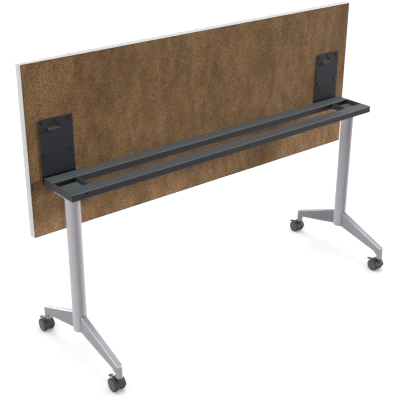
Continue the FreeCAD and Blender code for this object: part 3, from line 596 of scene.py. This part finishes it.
def silver_casting(name, shade):
    """The same silver on the cast feet, with painted shade on the flanks and a painted highlight
    along the upper edges.
    """
    colour = shaded(colours().silver, shade)
    material, tree, place = new_material(name, colour)
    # A dark seam of shadow and dirt shows where the foot meets the column
    middle = node_middle("right_column")
    spot = add(tree, "ShaderNodeSeparateXYZ", {0: place})
    across = add(tree, "ShaderNodeMath", {0: spot.outputs["X"]}, operation="ABSOLUTE")
    offsets = {}
    for axis, value, centre in (("X", across, middle.x), ("Y", spot.outputs["Y"], middle.y)):
        offsets[axis] = add(tree, "ShaderNodeMath", {0: value, 1: centre}, operation="SUBTRACT")
    from_column = add(tree, "ShaderNodeCombineXYZ", offsets)
    reach = add(tree, "ShaderNodeVectorMath", {0: from_column}, operation="LENGTH")
    root = node_size("right_column").x / 2 + sizes().foot_seam
    seam = add(
        tree, "ShaderNodeMath", {0: reach.outputs["Value"], 1: root}, operation="LESS_THAN"
    )
    tone = layered(
        tree,
        aluminium_flake(tree, place, colour),
        # Painted light: sideways flanks are darkened, the rounded upper edges get a painted
        # highlight and the flat crown is toned down from it
        (turned(tree, "X", 0.6, 0.9), (0.62, 0.61, 0.62)),
        (turned(tree, "Z", 0.15, 0.4), (1.4, 1.4, 1.4)),
        (turned(tree, "Z", 0.86, 0.92), shaded(WHITE, 0.6)),
        (seam, shaded(WHITE, 0.3)),
    )
    close_silver(tree, place, tone)
    return material


def silver_plastic():
    """Moulded polypropylene plug, coloured to match the legs: flatter than the metal."""
    colour = shaded(colours().silver, 0.92)
    material, tree, place = new_material("silver_plastic", colour)
    tone = clouded(tree, place, PLUG_CLOUD, shaded(colour, 0.96), colour)
    texture = add(tree, "ShaderNodeTexNoise", {"Vector": place, "Scale": 1 / MOULD_TEXTURE})
    close_material(tree, tone, 0.5, texture, relief=0.01 * MM, IOR=1.49)
    return material


def zinc_plated_steel():
    """Bright zinc on steel: metallic, with a faint bluish bloom and fine wear."""
    colour = from_hex("#b9bbbd")
    material, tree, place = new_material("zinc_plated_steel", colour)
    bloom = clouded(tree, place, ZINC_BLOOM, from_hex("#9fa3a8"), colour, Detail=4.0)
    wear = add(
        tree, "ShaderNodeTexNoise", {"Vector": place, "Scale": 1 / ZINC_WEAR, "Detail": 5.0}
    )
    rub = add(tree, "ShaderNodeMapRange", {"Value": wear, "To Min": 0.26, "To Max": 0.42})
    close_material(tree, bloom, rub, Metallic=1.0)
    return material


def black_oxide_screws():
    """Black oxide on hardened screws: dark, dry and slightly metallic."""
    colour = from_hex("#161617")
    material, tree, place = new_material("black_oxide_screws", colour)
    tone = clouded(tree, place, OXIDE_CLOUD, shaded(colour, 0.7), colour, Detail=3.0)
    fine = add(tree, "ShaderNodeTexNoise", {"Vector": place, "Scale": 1 / OXIDE_GRAIN})
    close_material(tree, tone, 0.45, fine, relief=0.01 * MM, Metallic=0.6)
    return material


def moulded_nylon(name, colour, roughness):
    """Glass-filled nylon from a spark-eroded mould: dark with a fine even texture."""
    material, tree, place = new_material(name, colour)
    tone = clouded(
        tree, place, NYLON_CLOUD, shaded(colour, 0.88), shaded(colour, 1.1), Detail=3.0
    )
    # Mould texture of about 0.3 mm is drawn at 0.6 mm, the least that shows
    texture = add(tree, "ShaderNodeTexNoise", {"Vector": place, "Scale": 1 / MOULD_TEXTURE})
    close_material(tree, tone, roughness, texture, relief=0.02 * MM, IOR=1.53)
    return material


def wheel_tread():
    """Soft polyurethane tread: black and matt, slightly dusty where it has rolled."""
    colour = from_hex("#222222")
    material, tree, place = new_material("wheel_tread", colour)
    dust_and_top_light = from_hex("#33322f")
    tone = clouded(tree, place, TREAD_DUST, colour, dust_and_top_light, (0.45, 0.8), Detail=5.0)
    fine = add(tree, "ShaderNodeTexNoise", {"Vector": place, "Scale": 1 / TREAD_GRAIN})
    close_material(tree, tone, 0.7, fine, relief=0.02 * MM, IOR=1.5)
    return material


FINISHES = {}


def finish_of(name):
    """Each finish is made once, when it is first asked for."""
    makers = {
        "backer": phenolic_backing_sheet,
        "laminate": white_laminate,
        "core": particle_board,
        "edge_band": abs_edge_band,
        "charcoal": lambda: charcoal_powder_coat("charcoal_powder_coat", 0.145, 0.35),
        # Charcoal with more painted top light, for the floors of the end boxes
        "top_lit_charcoal": lambda: charcoal_powder_coat("top_lit_powder_coat", 0.32, 0.35),
        # The hinge plates' coat carries painted shade in the gap behind the rear rail
        "plate_coat": lambda: charcoal_powder_coat(
            "plate_powder_coat", 0.1, 0.1, shade=1.25, sheen=0.12, gap_shade=True
        ),
        "latch_coat": lambda: charcoal_powder_coat("latch_powder_coat", 0.1, 0.08),
        "silver": silver_powder_coat,
        "front_casting": lambda: silver_casting("silver_casting", 1.0),
        # Painted shade: the rear feet are drawn darker than the front ones
        "rear_casting": lambda: silver_casting("rear_shaded_silver_casting", 0.77),
        "silver_plastic": silver_plastic,
        "zinc": zinc_plated_steel,
        "black_screws": black_oxide_screws,
        "tread": wheel_tread,
        "nylon": lambda: moulded_nylon("moulded_nylon", colours().caster, 0.45),
        "black_nylon": lambda: moulded_nylon("black_nylon", from_hex("#101010"), 0.6),
        "disc": lambda: moulded_nylon("disc_nylon", colours().disc, 0.5),
    }
    if name not in FINISHES:
        FINISHES[name] = makers[name]()
    return FINISHES[name]


# The tipped-up top
class TRAINING_TABLE_OT_worktop(bpy.types.Operator):
    """Dress the top's sheets and run the edge band round them"""

    bl_idname = "training_table.worktop"
    bl_label = "Worktop"

    def execute(self, context):
        dress("top_core", finish_of("core"))
        dress("top_laminate", finish_of("laminate"))
        dress("top_backer", finish_of("backer"))
        low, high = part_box("top_edge_band")
        deselect()
        bpy.ops.mesh.primitive_cube_add(size=1, location=(low + high) / 2, scale=high - low)
        band = settle(bpy.context.object)
        pick(band, "FACE", lambda f: abs(f.normal.y) > FACING)
        bpy.ops.mesh.inset(thickness=sizes().band_thickness, use_individual=True)
        bpy.ops.mesh.bridge_edge_loops()
        done()
        rounding = sizes().band_rounding

        def outer_corner(edge):
            on_rim = all(
                min(abs(v.co[i] - side[i]) for i in (0, 2) for side in (low, high))
                < rounding / 4
                for v in edge.verts
            )
            return on_rim and is_sharp(edge)

        pick(band, "EDGE", outer_corner)
        bpy.ops.mesh.bevel(offset=rounding, segments=3, affect="EDGES")
        done()
        smooth(band)
        finish_piece(band, "edge_band", "top_edge_band", finish_of("edge_band"))
        return {"FINISHED"}


HINGE_PLATE_THICKNESS = 3 * MM
# How much of a screw head's height is rounded, and the cross recess cut into it
SCREW_DOME_SHARE = 0.55
RECESS_LENGTH = 5 * MM
RECESS_WIDTH = 0.9 * MM


class TRAINING_TABLE_OT_hinge_plates(bpy.types.Operator):
    """Dress the hinge plates and drive their pan head screws"""

    bl_idname = "training_table.hinge_plates"
    bl_label = "Hinge plates"

    def execute(self, context):
        for side in SIDES:
            softened(
                f"{side}_hinge_plate", f"{side}_bent_plate", finish_of("plate_coat"), PLATE_EDGE
            )
        screw = self.pan_head_screw()
        screws = []
        for side in SIDES:
            low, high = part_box(f"{side}_hinge_plate")
            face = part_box("hinge_plate_screws")[0].y
            upper = high.z - sizes().screw_edge
            lower = upper - sizes().screw_row_spacing
            inner = [low.x + sizes().screw_edge, high.x - sizes().screw_edge]
            places = [(x, upper) for x in (inner[0], sum(inner) / 2, inner[1])]
            places += [(x, lower) for x in inner]
            for x, z in places:
                screws.append(another(screw, "screw", Vector((x, face, z))))
        bpy.data.objects.remove(screw)
        finish_piece(smooth(joined(screws)), "pan_head_screws", "hinge_plate_screws")
        return {"FINISHED"}

    def pan_head_screw(self):
        """One screw whose head's face is at the origin, with its shank along +Y."""
        depth = node_size("hinge_plate_screws").y
        plate_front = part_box("left_hinge_plate")[1].y - HINGE_PLATE_THICKNESS
        head = plate_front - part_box("hinge_plate_screws")[0].y
        deselect()
        bpy.ops.mesh.primitive_cylinder_add(
            vertices=SCREW_SIDES,
            radius=sizes().screw_head_radius,
            depth=head,
            location=(0, head / 2, 0),
            rotation=(math.pi / 2, 0, 0),
        )
        screw = settle(bpy.context.object)
        screw.data.materials.append(finish_of("black_screws"))
        screw.data.materials.append(finish_of("charcoal"))
        pick(screw, "FACE", lambda f: f.normal.y > FACING)
        ring = sizes().screw_head_radius - sizes().screw_shank_radius
        bpy.ops.mesh.inset(thickness=ring)
        bpy.ops.mesh.extrude_region_move(
            TRANSFORM_OT_translate={"value": (0, depth - head, 0)}
        )
        done()
        pick(screw, "EDGE", lambda e: all(v.co.y < head / 10 for v in e.verts))
        bpy.ops.mesh.bevel(offset=head * SCREW_DOME_SHARE, segments=4, affect="EDGES")
        done()
        for turn in (math.pi / 4, -math.pi / 4):
            deselect()
            bpy.ops.mesh.primitive_cube_add(
                size=1,
                location=(0, 0, 0),
                rotation=(0, turn, 0),
                scale=(RECESS_LENGTH, head, RECESS_WIDTH),
            )
            blade = settle(bpy.context.object)
            apply_modifier(screw, "BOOLEAN", operation="DIFFERENCE", object=blade)
            bpy.data.objects.remove(blade)
        # The dome takes the charcoal finish, and the skirt round it is left black as a painted
        # shade ring round each head
        for face in screw.data.polygons:
            reach = math.hypot(face.center.x, face.center.z)
            on_dome = face.center.y < head / 4 and reach < sizes().screw_dome_radius
            face.material_index = 1 if on_dome else 0
        return screw


# The springs' wire has few sides, so it is smoothed over wide angles
SPRING_WIRE_SIDES = 10
SPRING_STEPS_PER_TURN = 24
SPRING_SMOOTH_ANGLE = 60


class TRAINING_TABLE_OT_latches(bpy.types.Operator):
    """Dress the latch slides and wind their return springs"""

    bl_idname = "training_table.latches"
    bl_label = "Latches"

    def execute(self, context):
        for side in SIDES:
            slide = softened(
                f"{side}_latch_slide", f"{side}_tongue", finish_of("latch_coat"), MOULDED_EDGE
            )
            slide.data.materials.append(finish_of("black_nylon"))
            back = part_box(f"{side}_hinge_plate")[1].y
            for face in slide.data.polygons:
                if face.center.y > back:
                    face.material_index = 1
            self.coil(side)
        return {"FINISHED"}

    def coil(self, side):
        """A coil spring between the slide and the end of its pocket."""
        node = f"{side}_latch_spring"
        low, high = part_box(node)
        wire = sizes().spring_wire
        radius = (high.x - low.x) / 2 - wire
        height = high.z - low.z
        middle = (low + high) / 2
        deselect()
        bpy.ops.mesh.primitive_circle_add(
            vertices=SPRING_WIRE_SIDES,
            radius=wire,
            rotation=(math.pi / 2, 0, 0),
            location=(radius, 0, 0),
        )
        spring = settle(bpy.context.object)
        turns = sizes().spring_turns
        apply_modifier(
            spring,
            "SCREW",
            axis="Z",
            angle=2 * math.pi * turns,
            screw_offset=height - 2 * wire,
            steps=SPRING_STEPS_PER_TURN * turns,
            render_steps=SPRING_STEPS_PER_TURN * turns,
        )
        pick(spring, "EDGE", lambda e: e.is_boundary)
        bpy.ops.mesh.edge_face_add()
        bpy.ops.mesh.select_all(action="SELECT")
        bpy.ops.mesh.normals_make_consistent(inside=False)
        done()
        spring.location = (middle.x, middle.y, low.z + wire)
        settle(spring)
        smooth(spring, SPRING_SMOOTH_ANGLE)
        finish_piece(spring, f"{side}_coil_spring", node, finish_of("zinc"))
        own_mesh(spring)


class TRAINING_TABLE_OT_rail_frame(bpy.types.Operator):
    """Dress the rails, the plates between them and the hinge pins"""

    bl_idname = "training_table.rail_frame"
    bl_label = "Rail frame"

    def execute(self, context):
        for end in ENDS:
            softened(f"{end}_rail", f"{end}_rail_tube", finish_of("charcoal"))
        for side in SIDES:
            for node, name, finish, edge in (
                ("end_plate", "end_cap", "charcoal", END_CAP_EDGE),
                ("cross_plate", "cross_web", "charcoal", CROSS_WEB_EDGE),
                # The box floors carry the strongest painted top light
                ("floor_plate", "box_floor", "top_lit_charcoal", PLATE_EDGE),
                ("hinge_block", "bearing_block", "charcoal", PLATE_EDGE),
                ("hinge_pin", "pivot_pin", "zinc", PLATE_EDGE),
            ):
                softened(f"{side}_{node}", f"{side}_{name}", finish_of(finish), edge)
        softened("hinge_pin_clips", "pin_clips", finish_of("zinc"), CLIP_EDGE)
        return {"FINISHED"}


# The rim's share of a bolt head's radius, the dish inside it and the chamfer on the bolt's end
BOLT_HEAD_RIM = 0.18
BOLT_HEAD_DISH = 0.4 * MM
BOLT_END_CHAMFER = 0.6 * MM


class TRAINING_TABLE_OT_columns(bpy.types.Operator):
    """Stand the two columns, with their plates, plugs and bolts"""

    bl_idname = "training_table.columns"
    bl_label = "Columns"

    def execute(self, context):
        for side in SIDES:
            self.tube(side)
            softened(
                f"{side}_column_plate", f"{side}_top_plate", finish_of("silver"), MOULDED_EDGE
            )
            softened(f"{side}_column_plug", f"{side}_end_plug", finish_of("silver_plastic"))
        self.bolts()
        return {"FINISHED"}

    def tube(self, side):
        low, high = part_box(f"{side}_column")
        deselect()
        bpy.ops.mesh.primitive_cylinder_add(
            vertices=TUBE_SIDES,
            radius=(high.x - low.x) / 2,
            depth=high.z - low.z,
            location=(low + high) / 2,
            end_fill_type="NOTHING",
        )
        column = settle(bpy.context.object)
        apply_modifier(
            column, "SOLIDIFY", thickness=sizes().tube_wall, offset=-1, use_even_offset=True
        )
        smooth(column)
        finish_piece(column, f"{side}_leg_tube", f"{side}_column", finish_of("silver"))

    def bolts(self):
        low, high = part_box("leg_bolts")
        head = sizes().bolt_head_height
        radius = sizes().bolt_head_radius
        deselect()
        bpy.ops.mesh.primitive_cylinder_add(
            vertices=6, radius=radius, depth=head, location=(0, 0, head / 2)
        )
        bolt = settle(bpy.context.object)
        pick(bolt, "FACE", lambda f: f.normal.z < -FACING)
        bpy.ops.mesh.inset(thickness=radius * BOLT_HEAD_RIM)
        bpy.ops.mesh.extrude_region_move(
            TRANSFORM_OT_translate={"value": (0, 0, BOLT_HEAD_DISH)}
        )
        done()
        shank = self.shank(head, high.z - low.z - head)
        bolt = joined([bolt, shank])
        bolts = []
        for side in SIDES:
            middle = node_middle(f"{side}_column_plate")
            for across in (-0.5, 0.5):
                x = middle.x + across * sizes().bolts_across
                for along in (-0.5, 0.5):
                    y = middle.y + along * sizes().bolts_along
                    bolts.append(another(bolt, "bolt", Vector((x, y, low.z))))
        bpy.data.objects.remove(bolt)
        finish_piece(smooth(joined(bolts)), "hex_bolts", "leg_bolts", finish_of("zinc"))

    def shank(self, start, length):
        deselect()
        bpy.ops.mesh.primitive_cylinder_add(
            vertices=SCREW_SIDES,
            radius=sizes().bolt_radius,
            depth=length,
            location=(0, 0, start + length / 2),
        )
        shank = settle(bpy.context.object)
        pick(shank, "EDGE", lambda e: all(v.co.z > start + length * 0.9 for v in e.verts))
        bpy.ops.mesh.bevel(offset=BOLT_END_CHAMFER, segments=1, affect="EDGES")
        done()
        return shank


class TRAINING_TABLE_OT_feet(bpy.types.Operator):
    """Fit the four tapered feet and the sockets in them"""

    bl_idname = "training_table.feet"
    bl_label = "Feet"

    def execute(self, context):
        for side in SIDES:
            for end in ENDS:
                softened(
                    f"{side}_{end}_foot",
                    f"{side}_{end}_cast_foot",
                    finish_of(f"{end}_casting"),
                    CAST_EDGE,
                )
        softened("caster_sockets", "stem_sockets", finish_of("zinc"))
        return {"FINISHED"}


class TRAINING_TABLE_OT_casters(bpy.types.Operator):
    """Build the casters' housings, stems, axles and brake levers"""

    bl_idname = "training_table.casters"
    bl_label = "Casters"

    def execute(self, context):
        for caster in CASTERS:
            for node, name, finish, edge in (
                ("caster_housing", "hood", "nylon", CASTER_EDGE),
                ("caster_stem", "stem", "zinc", CASTER_EDGE),
                ("caster_axle", "axle", "zinc", CASTER_EDGE),
                ("brake_lever", "brake", "nylon", MOULDED_EDGE),
            ):
                softened(f"{caster}_{node}", f"{caster}_{name}", finish_of(finish), edge)
        return {"FINISHED"}


# A groove lies round the wheel's disc, which stands out by a step, and a finer one round its cap
WHEEL_STEP = 0.7 * MM
WHEEL_CAP_RADIUS = 9 * MM
# The inner side is hollow between rim and hub: depths as shares of the wheel's width, and radii
WHEEL_HOLLOW_SHARE = 0.58
WHEEL_BORE_SHARE = 0.9
WHEEL_RIM_RADIUS = 19.5 * MM
WHEEL_HUB_RADIUS = 7.5 * MM
WHEEL_BORE_RADIUS = 3.1 * MM


class TRAINING_TABLE_OT_wheels(bpy.types.Operator):
    """Turn one twin wheel and fit it to both sides of each caster"""

    bl_idname = "training_table.wheels"
    bl_label = "Wheels"

    def execute(self, context):
        wheel = self.turned_wheel()
        for caster in CASTERS:
            for hand in SIDES:
                node = f"{caster}_{hand}_wheel"
                low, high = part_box(node)
                outer = low.x if hand == "left" else high.x
                middle = (low + high) / 2
                turn = 0.0 if hand == "left" else math.pi
                name = f"{node}_turned"
                piece = another(wheel, name, Vector((outer, middle.y, middle.z)), turn)
                finish_piece(smooth(piece), name, node)
        bpy.data.objects.remove(wheel)
        return {"FINISHED"}

    def turned_wheel(self):
        """A wheel whose outer face is at the origin and whose axle runs along +X."""
        size = node_size("left_front_left_wheel")
        width = size.x
        radius = size.z / 2
        step = WHEEL_STEP
        deselect()
        bpy.ops.mesh.primitive_cylinder_add(
            vertices=WHEEL_SIDES,
            radius=radius,
            depth=width - step,
            location=(step + (width - step) / 2, 0, 0),
            rotation=(0, math.pi / 2, 0),
        )
        wheel = settle(bpy.context.object)
        wheel.data.materials.append(finish_of("tread"))
        wheel.data.materials.append(finish_of("disc"))
        disc = sizes().disc_radius
        pick(wheel, "FACE", lambda f: f.normal.x < -FACING)
        for thickness, push in (
            (radius - disc - step, step),
            (step, -2 * step),
            (step / 2, 0),
            (disc - WHEEL_CAP_RADIUS, 0),
            (step, step / 2),
            (step, -step / 2),
        ):
            bpy.ops.mesh.inset(thickness=thickness)
            if push:
                bpy.ops.mesh.extrude_region_move(
                    TRANSFORM_OT_translate={"value": (push, 0, 0)}
                )
        done()
        pick(wheel, "FACE", lambda f: f.normal.x > FACING)
        hollow = width * WHEEL_HOLLOW_SHARE
        for thickness, push in (
            (radius - WHEEL_RIM_RADIUS, -hollow),
            (WHEEL_RIM_RADIUS - WHEEL_HUB_RADIUS, hollow),
            (WHEEL_HUB_RADIUS - WHEEL_BORE_RADIUS, -width * WHEEL_BORE_SHARE),
        ):
            bpy.ops.mesh.inset(thickness=thickness)
            bpy.ops.mesh.extrude_region_move(TRANSFORM_OT_translate={"value": (push, 0, 0)})
        done()
        for face in wheel.data.polygons:
            reach = math.hypot(face.center.y, face.center.z)
            face.material_index = 0 if reach > disc - step / 4 else 1
        rounding = sizes().tread_rounding

        def tread_rim(edge):
            far = all(math.hypot(v.co.y, v.co.z) > radius - rounding / 8 for v in edge.verts)
            return far and is_sharp(edge)

        pick(wheel, "EDGE", tread_rim)
        bpy.ops.mesh.bevel(offset=rounding, segments=4, affect="EDGES")
        done()
        return wheel


# How pale the paper is to the light that it bounces and to the eye
PAPER_BOUNCE = 0.4
PAPER_SEEN = 0.25
# How much the paper glows in the open and close under things, and how far "close" reaches
GLOW_OPEN = 0.92
GLOW_COVERED = 0.1
SHADE_REACH = 0.26
SHADE_SAMPLES = 16
FLOOR_SIZE = 60
WORLD_FILL = 0.1
# Name, where the light comes from, how wide it looks in degrees, and strength
SUNS = (
    ("overhead_light", (0.0, 0.0, 1.0), 15, 1.7),
    ("left_soft_light", (-0.98, -0.04, 0.25), 12, 2.0),
    ("right_soft_light", (0.93, -0.27, 0.16), 8, 3.0),
    ("rear_soft_light", (0.15, 0.98, 0.1), 30, 2.7),
)
LAMP_DISTANCE = 3
# The camera, as the corners of the table in its picture place it
FRAME_PIXELS = 400
SENSOR = 36.0
FOCAL_PIXELS = 847.54
CAMERA_AZIMUTH = -0.68369
CAMERA_ELEVATION = 0.43229
CAMERA_ROLL = 0.00417
CAMERA_SPOT = Vector((-1.94881, -2.24485, 1.80940))
VIEW_REACH = 100


class TRAINING_TABLE_OT_stage(bpy.types.Operator):
    """Lay the floor and set the lamps and the camera"""

    bl_idname = "training_table.stage"
    bl_label = "Stage"

    def execute(self, context):
        self.floor()
        self.world()
        self.lamps()
        self.camera()
        return {"FINISHED"}

    def seen_white(self, tree):
        """1 where the camera, a reflection or a view through glass meets the background."""
        path = add(tree, "ShaderNodeLightPath")
        seen = path.outputs["Is Camera Ray"]
        for kind in ("Is Glossy Ray", "Is Transmission Ray"):
            seen = add(
                tree, "ShaderNodeMath", {0: seen, 1: path.outputs[kind]}, operation="MAXIMUM"
            )
        return seen

    def floor(self):
        deselect()
        bpy.ops.mesh.primitive_plane_add(size=FLOOR_SIZE, location=(0, 0, 0))
        floor = bpy.context.object
        floor.name = "studio_floor"
        material = bpy.data.materials.new("white_paper_sweep")
        material.use_nodes = True
        tree = material.node_tree
        tree.nodes.clear()
        seen = self.seen_white(tree)
        tone = add(
            tree,
            "ShaderNodeMapRange",
            {"Value": seen, "To Min": PAPER_BOUNCE, "To Max": PAPER_SEEN},
        )
        paper = add(tree, "ShaderNodeBsdfDiffuse", {"Color": tone})
        open_sky = add(
            tree,
            "ShaderNodeAmbientOcclusion",
            {"Distance": SHADE_REACH},
            samples=SHADE_SAMPLES,
        )
        level = add(
            tree,
            "ShaderNodeMapRange",
            {"Value": open_sky.outputs["AO"], "To Min": GLOW_COVERED, "To Max": GLOW_OPEN},
        )
        share = add(tree, "ShaderNodeMath", {0: seen, 1: level}, operation="MULTIPLY")
        glow = add(tree, "ShaderNodeEmission", {"Strength": share})
        both = add(tree, "ShaderNodeAddShader", {0: paper, 1: glow})
        add(tree, "ShaderNodeOutputMaterial", {"Surface": both})
        floor.data.materials.append(material)

    def world(self):
        world = bpy.data.worlds.new("white_studio")
        bpy.context.scene.world = world
        world.use_nodes = True
        tree = world.node_tree
        tree.nodes.clear()
        strength = add(
            tree,
            "ShaderNodeMapRange",
            {"Value": self.seen_white(tree), "To Min": WORLD_FILL, "To Max": 1.0},
        )
        sky = add(
            tree, "ShaderNodeBackground", {"Color": opaque(WHITE), "Strength": strength}
        )
        add(tree, "ShaderNodeOutputWorld", {"Surface": sky})

    def lamps(self):
        for name, source, width, strength in SUNS:
            light = bpy.data.lights.new(name, "SUN")
            light.angle = math.radians(width)
            light.energy = strength
            lamp = new_object(name, light)
            lamp.location = Vector(source) * LAMP_DISTANCE
            lamp.rotation_euler = Vector(source).to_track_quat("Z", "Y").to_euler()

    def camera(self):
        azimuth, elevation, roll = CAMERA_AZIMUTH, CAMERA_ELEVATION, CAMERA_ROLL
        back = Vector(
            (
                math.sin(azimuth) * math.cos(elevation),
                -math.cos(azimuth) * math.cos(elevation),
                math.sin(elevation),
            )
        )
        level = Vector((math.cos(azimuth), math.sin(azimuth), 0))
        up = back.cross(level)
        right = level * math.cos(roll) + up * math.sin(roll)
        up = back.cross(right)
        data = bpy.data.cameras.new("studio_camera")
        data.sensor_width = SENSOR
        data.lens = SENSOR * FOCAL_PIXELS / FRAME_PIXELS
        data.clip_end = VIEW_REACH
        camera = new_object("studio_camera", data)
        turn = Matrix((right, up, back)).transposed()
        camera.matrix_world = Matrix.Translation(CAMERA_SPOT) @ turn.to_4x4()
        bpy.context.scene.camera = camera


class TRAINING_TABLE_PT_panel(bpy.types.Panel):
    """Sizes, colours and the steps that build the table's looks"""

    bl_idname = "TRAINING_TABLE_PT_panel"
    bl_label = "Training Table"
    bl_space_type = "VIEW_3D"
    bl_region_type = "UI"
    bl_category = "Training Table"

    def draw(self, context):
        for group in (sizes(), colours()):
            for name in group.__annotations__:
                self.layout.prop(group, name)
        for step in STEPS:
            self.layout.operator(step.bl_idname)


STEPS = (
    TRAINING_TABLE_OT_stage,
    TRAINING_TABLE_OT_worktop,
    TRAINING_TABLE_OT_hinge_plates,
    TRAINING_TABLE_OT_latches,
    TRAINING_TABLE_OT_rail_frame,
    TRAINING_TABLE_OT_columns,
    TRAINING_TABLE_OT_feet,
    TRAINING_TABLE_OT_casters,
    TRAINING_TABLE_OT_wheels,
)
CLASSES = (TrainingTableSizes, TrainingTableColours, *STEPS, TRAINING_TABLE_PT_panel)


def register():
    for made in CLASSES:
        bpy.utils.register_class(made)
    bpy.types.Scene.training_table_sizes = PointerProperty(type=TrainingTableSizes)
    bpy.types.Scene.training_table_colours = PointerProperty(type=TrainingTableColours)


def unregister():
    del bpy.types.Scene.training_table_colours
    del bpy.types.Scene.training_table_sizes
    for made in reversed(CLASSES):
        bpy.utils.unregister_class(made)


def main():
    register()
    bpy.context.scene.view_settings.view_transform = "Standard"
    for step in STEPS:
        getattr(bpy.ops.training_table, step.bl_idname.split(".")[1])()
    deselect()


if __name__ == "__main__":
    main()
